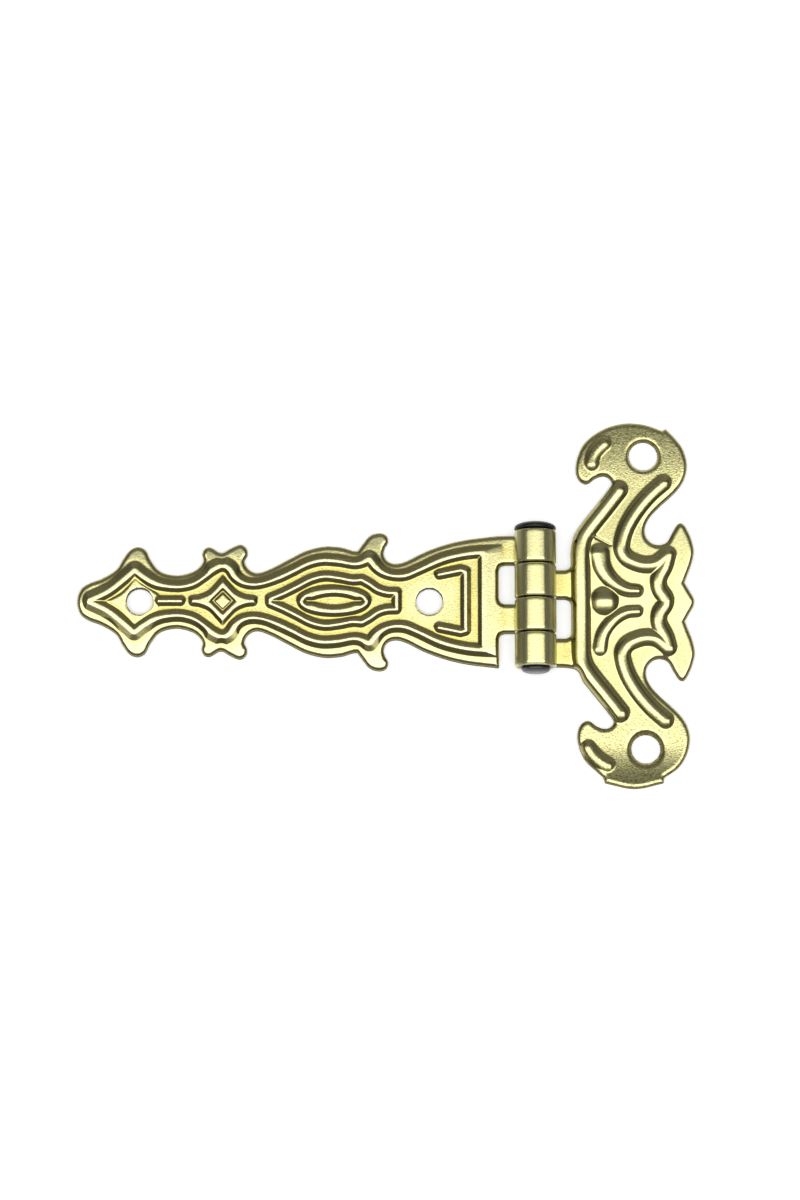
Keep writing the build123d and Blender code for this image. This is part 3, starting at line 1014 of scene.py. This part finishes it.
def addNode(tree, kind, values=None, **fields):
    node = tree.nodes.new(kind)
    for field, value in fields.items():
        setattr(node, field, value)
    for socket, value in (values or {}).items():
        if isinstance(value, bpy.types.NodeSocket):
            tree.links.new(value, node.inputs[socket])
        else:
            node.inputs[socket].default_value = value
    return node


def addMath(tree, operation, *values):
    return addNode(tree, "ShaderNodeMath", dict(enumerate(values)), operation=operation).outputs[0]


def addRange(tree, source, span, onto=(0.0, 1.0)):
    return addNode(tree, "ShaderNodeMapRange", dict(enumerate((source, *span, *onto)))).outputs[0]


def addNoise(tree, place, scale, detail, roughness=0.5):
    values = {"Vector": place, "Scale": scale, "Detail": detail, "Roughness": roughness}
    return addNode(tree, "ShaderNodeTexNoise", values).outputs


def addRamp(tree, source, stops):
    node = addNode(tree, "ShaderNodeValToRGB", {"Fac": source})
    elements = node.color_ramp.elements
    for element, (place, color) in zip(elements, (stops[0], stops[-1])):
        element.position, element.color = place, color
    for place, color in stops[1:-1]:
        elements.new(place).color = color
    return node.outputs["Color"]


def mixColors(tree, share, a, b):
    # the colour sockets of a mix node have these numbers
    return addNode(tree, "ShaderNodeMix", {"Factor": share, 6: a, 7: b}, data_type="RGBA").outputs[2]


grainLook = {
    "pebble": (3.0, 0.6),      # detail and roughness of the noise
    "cloud": (260.0, 3.0),     # its scale and detail
    "fleck": (3800.0, 4.0, 0.7),         # all three
    "fleckFrom": (0.5, 0.62),  # noise at which a fleck starts and is full
}


def makeGrainGroup():
    group, given, result = newGroup("pebbledGrain", [("Size", 4000.0)], ["Height", "Mottle", "Speck"])
    place = addNode(group, "ShaderNodeTexCoord").outputs["Object"]
    pebble = addNoise(group, place, given.outputs["Size"], *grainLook["pebble"])["Fac"]
    cloud = addNoise(group, place, *grainLook["cloud"])["Fac"]
    fleck = addNoise(group, place, *grainLook["fleck"])["Fac"]
    speck = addRange(group, fleck, grainLook["fleckFrom"])
    for value, label in ((pebble, "Height"), (cloud, "Mottle"), (speck, "Speck")):
        group.links.new(value, result.inputs[label])
    return group


scratchLook = {
    "wander": (700.0, 2.0),    # scale and detail of the noise that bends the scratches
    "bend": 0.0012,
    "turn": 0.6,
    "stretch": (260, 5200, 5200),
    "line": (1.0, 1.0),
    "lineFrom": (0.68, 0.76),  # noise at which a scratch starts and is full
}


def makeScratchGroup():
    group, given, result = newGroup("handlingScratches", [("Amount", 0.5)], ["Mask"])
    place = addNode(group, "ShaderNodeTexCoord").outputs["Object"]
    wander = addNoise(group, place, *scratchLook["wander"])["Color"]
    swayed = {0: wander, "Scale": scratchLook["bend"]}
    bend = addNode(group, "ShaderNodeVectorMath", swayed, operation="SCALE").outputs[0]
    moved = addNode(group, "ShaderNodeVectorMath", {0: place, 1: bend}, operation="ADD").outputs[0]
    drawnOut = {"Vector": moved, "Rotation": (0, 0, scratchLook["turn"]), "Scale": scratchLook["stretch"]}
    stretched = addNode(group, "ShaderNodeMapping", drawnOut).outputs[0]
    line = addNoise(group, stretched, *scratchLook["line"])["Fac"]
    thin = addRange(group, line, scratchLook["lineFrom"])
    group.links.new(addMath(group, "MULTIPLY", thin, given.outputs["Amount"]), result.inputs["Mask"])
    return group


def newMetal(name, look):
    # a metal with its grain and scratches, whose colours come after
    material = bpy.data.materials.new(name)
    material.use_nodes = True
    tree = material.node_tree
    shader = tree.nodes["Principled BSDF"].inputs
    shader["Metallic"].default_value = look["metallic"]
    grain = addNode(tree, "ShaderNodeGroup", {"Size": look["grainSize"]}, node_tree=grainGroup)
    scratch = addNode(tree, "ShaderNodeGroup", {"Amount": look["scratches"]}, node_tree=scratchGroup)
    return material, tree, shader, grain.outputs, scratch.outputs["Mask"]


def addGrainBump(tree, shader, height, look):
    grained = {"Height": height, "Distance": look["grainDepth"], "Strength": 1.0}
    tree.links.new(addNode(tree, "ShaderNodeBump", grained).outputs["Normal"], shader["Normal"])


brass = {
    "metallic": 1.0,
    "platingShadeAndHighlight": [                         # plating colour by tone, with painted shade in the valleys and a painted highlight on the crests
        (0.25, (0.70, 0.60, 0.17, 1)),
        (0.5, (0.82, 0.78, 0.37, 1)),
        (0.8, (0.87, 0.84, 0.5, 1)),
    ],
    "slope": (0.25, 0.205, 0.075, 1),    # painted shade on the steep sides, standing in for the dim room they reflect
    "pit": (0.34, 0.30, 0.12, 1),
    "speckle": 0.95,
    # bare cut steel, and painted shade on the rounded rims of the outline and on the knuckles' flanks
    "edge": (0.055, 0.048, 0.032, 1),
    "scratch": (0.90, 0.86, 0.52, 1),
    "scratches": 0.4,
    "mottle": (0.3, 0.7),                # noise over which the roughness runs from low to high
    "roughness": (0.09, 0.16),
    "edgeRoughness": 0.5,
    "grainSize": 6000.0,
    "grainDepth": 0.00003,
}


def makeBrassPlating():
    material, tree, shader, grain, scratch = newMetal("brassPlating", brass)
    tone, edge, strength, slope = (
        addNode(tree, "ShaderNodeAttribute", attribute_name=name).outputs["Fac"]
        for name in ("tone", "edge", "grain", "slope")
    )
    # painted shade in the hollows and painted highlight on the crests, over the plating's own colour
    color = addRamp(tree, tone, brass["platingShadeAndHighlight"])
    # painted shade on the steep sides
    color = mixColors(tree, slope, color, brass["slope"])
    specks = addMath(tree, "MULTIPLY", grain["Speck"], strength)
    color = mixColors(tree, addMath(tree, "MULTIPLY", specks, brass["speckle"]), color, brass["pit"])
    color = mixColors(tree, scratch, color, brass["scratch"])
    # dark bare steel on cut edges and knuckle ends, painted shade on the outline's rounding and the barrel's
    # flanks
    color = mixColors(tree, edge, color, brass["edge"])
    tree.links.new(color, shader["Base Color"])
    rough = addRange(tree, grain["Mottle"], brass["mottle"], brass["roughness"])
    worn = addNode(tree, "ShaderNodeMix", {0: edge, 2: rough, 3: brass["edgeRoughness"]})
    tree.links.new(worn.outputs[0], shader["Roughness"])
    addGrainBump(tree, shader, addMath(tree, "MULTIPLY", grain["Height"], strength), brass)
    return material


steel = {
    "metallic": 0.5,
    "oxide": [(0.35, (0.008, 0.0075, 0.0085, 1)), (0.75, (0.03, 0.028, 0.03, 1))],
    "peened": (0.09, 0.085, 0.09, 1),
    "scratch": (0.2, 0.2, 0.2, 1),
    "scratches": 0.7,
    "mottle": (0.3, 0.7),
    "roughness": (0.22, 0.4),
    "grainSize": 2600.0,
    "grainDepth": 0.00002,
}


def makeDarkSteel():
    material, tree, shader, grain, scratch = newMetal("darkSteel", steel)
    peened = addNode(tree, "ShaderNodeAttribute", attribute_name="edge").outputs["Fac"]
    color = addRamp(tree, grain["Mottle"], steel["oxide"])
    color = mixColors(tree, peened, color, steel["peened"])
    color = mixColors(tree, scratch, color, steel["scratch"])
    tree.links.new(color, shader["Base Color"])
    rough = addRange(tree, grain["Mottle"], steel["mottle"], steel["roughness"])
    tree.links.new(rough, shader["Roughness"])
    addGrainBump(tree, shader, grain["Height"], steel)
    return material


grainGroup = makeGrainGroup()
scratchGroup = makeScratchGroup()
brassPlating = makeBrassPlating()
darkSteel = makeDarkSteel()
print("finishes mixed")

pressedLeaf(
    "strap_leaf", "strap_side", -1, strapKnuckles, strapOutline(strapLeaf),
    strapHoles, strapHoleRadius, strapFace, strapLeaf,
)
pressedLeaf(
    "scroll_leaf", "scroll_side", 1, scrollKnuckles, scrollOutline(scrollLeaf),
    headHoles, headHoleRadius, scrollFace, scrollLeaf,
)
rivetPin()

# Studio: pale floor, one softbox overhead whose light falls off towards its edges, dim room
studio = {
    "floorSize": 16.0,
    "floorGap": 0.00002,       # keeps the floor clear of the backs
    "floorColor": (0.93, 0.93, 0.94, 1),
    "floorGlow": 0.47,
    "keyLevel": 0.9,           # soft key lamp that draws the shadow on the floor
    "keyAngle": 0.6,
    "keyFrom": (-0.1, 0.55, 0.85),
    "roomColor": (0.34, 0.335, 0.32, 1),
    "boxHeight": 0.9,
    "boxLevel": 1.9,
    "boxFill": 0.11,           # level of the dim cloth around the bright part
    # level at angles from overhead, along the strap and across it
    "alongX": [(-68, 0.06), (-49, 0.09), (-44, 1.0), (45, 1.0), (49, 0.03), (68, 0.02)],
    "alongY": [
        (-62, 0.03), (-38, 0.08), (-27, 0.8), (-16, 1.0), (4.5, 1.0),
        (10, 0.72), (14.5, 0.34), (20, 0.13), (32, 0.02), (62, 0.05),
    ],
}


def stagePlane(name, corners, height):
    mesh = bpy.data.meshes.new(name)
    mesh.from_pydata([(x, y, 0) for x, y in corners], [], [(0, 1, 2, 3)])
    plane = bpy.data.objects.new(name, mesh)
    plane.location.z = height
    bpy.context.scene.collection.objects.link(plane)
    return plane


def stageMaterial(plane, name):
    material = bpy.data.materials.new(name)
    material.use_nodes = True
    material.node_tree.nodes.clear()
    plane.data.materials.append(material)
    return material.node_tree


def addGlow(tree, level):
    return addNode(tree, "ShaderNodeEmission", {"Color": (1, 1, 1, 1), "Strength": level}).outputs[0]


def makeFloor():
    half = studio["floorSize"] / 2
    corners = [(-half, -half), (half, -half), (half, half), (-half, half)]
    floor = stagePlane("floor", corners, -studio["floorGap"])
    tree = stageMaterial(floor, "paleFloor")
    paint = addNode(tree, "ShaderNodeBsdfDiffuse", {"Color": studio["floorColor"]}).outputs[0]
    rays = addNode(tree, "ShaderNodeLightPath").outputs
    seen = addMath(tree, "MAXIMUM", rays["Is Camera Ray"], rays["Is Glossy Ray"])
    seen = addMath(tree, "MAXIMUM", seen, rays["Is Transmission Ray"])
    glow = addGlow(tree, addMath(tree, "MULTIPLY", seen, studio["floorGlow"]))
    both = addNode(tree, "ShaderNodeAddShader", {0: paint, 1: glow}).outputs[0]
    addNode(tree, "ShaderNodeOutputMaterial", {"Surface": both})


def makeSoftbox():
    height = studio["boxHeight"]
    spans = []
    for axis in "XY":
        angles = [stop[0] for stop in studio["along" + axis]]
        spans.append([height * math.tan(math.radians(angle)) for angle in angles])
    (x0, x1), (y0, y1) = [(span[0], span[-1]) for span in spans]
    box = stagePlane("softbox", [(x0, y0), (x0, y1), (x1, y1), (x1, y0)], height)
    box.visible_camera = False
    tree = stageMaterial(box, "softboxCloth")
    place = addNode(tree, "ShaderNodeSeparateXYZ", {0: addNode(tree, "ShaderNodeTexCoord").outputs["Object"]})
    levels = []
    for axis, span in zip("XY", spans):
        share = addRange(tree, place.outputs[axis], (span[0], span[-1]))
        grays = []
        for spot, stop in zip(span, studio["along" + axis]):
            grays.append(((spot - span[0]) / (span[-1] - span[0]), (stop[1], stop[1], stop[1], 1)))
        levels.append(addRamp(tree, share, grays))
    level = addMath(tree, "MULTIPLY", *levels)
    level = addMath(tree, "MULTIPLY_ADD", level, studio["boxLevel"], studio["boxFill"])
    addNode(tree, "ShaderNodeOutputMaterial", {"Surface": addGlow(tree, level)})


def makeKey():
    lamp = bpy.data.lights.new("key", "SUN")
    lamp.energy, lamp.angle = studio["keyLevel"], studio["keyAngle"]
    key = bpy.data.objects.new("key", lamp)
    key.rotation_euler = Vector(studio["keyFrom"]).to_track_quat("Z", "Y").to_euler()
    key.visible_glossy = False
    bpy.context.scene.collection.objects.link(key)


def makeStudio():
    makeFloor()
    makeSoftbox()
    makeKey()
    world = bpy.data.worlds.new("dimRoom")
    world.use_nodes = True
    world.node_tree.nodes["Background"].inputs["Color"].default_value = studio["roomColor"]
    bpy.context.scene.world = world
    bpy.context.scene.view_settings.view_transform = "Standard"


# Camera: nearly overhead, from the side of the pin's spread end
camera = {
    "lens": 135.0,
    "elevation": 80.0,
    "pixelsPerMm": 9.78,
    "frameHeight": 1200,
    "aim": (-13.8, 0.2, 0.4),
    "clipStart": 0.01,
}


def makeCamera():
    data = bpy.data.cameras.new("camera")
    data.lens = camera["lens"]
    eye = bpy.data.objects.new("camera", data)
    bpy.context.scene.collection.objects.link(eye)
    span = camera["frameHeight"] / camera["pixelsPerMm"]
    away = span * camera["lens"] / data.sensor_width
    lift = math.radians(camera["elevation"])
    back = Vector((0, -math.cos(lift), math.sin(lift)))
    eye.location = (Vector(camera["aim"]) + back * away) * mm
    eye.rotation_euler = (-back).to_track_quat("-Z", "Y").to_euler()
    data.clip_start = camera["clipStart"]
    bpy.context.scene.camera = eye


makeStudio()
makeCamera()
print("studio and camera set")

bpy.context.view_layer.update()
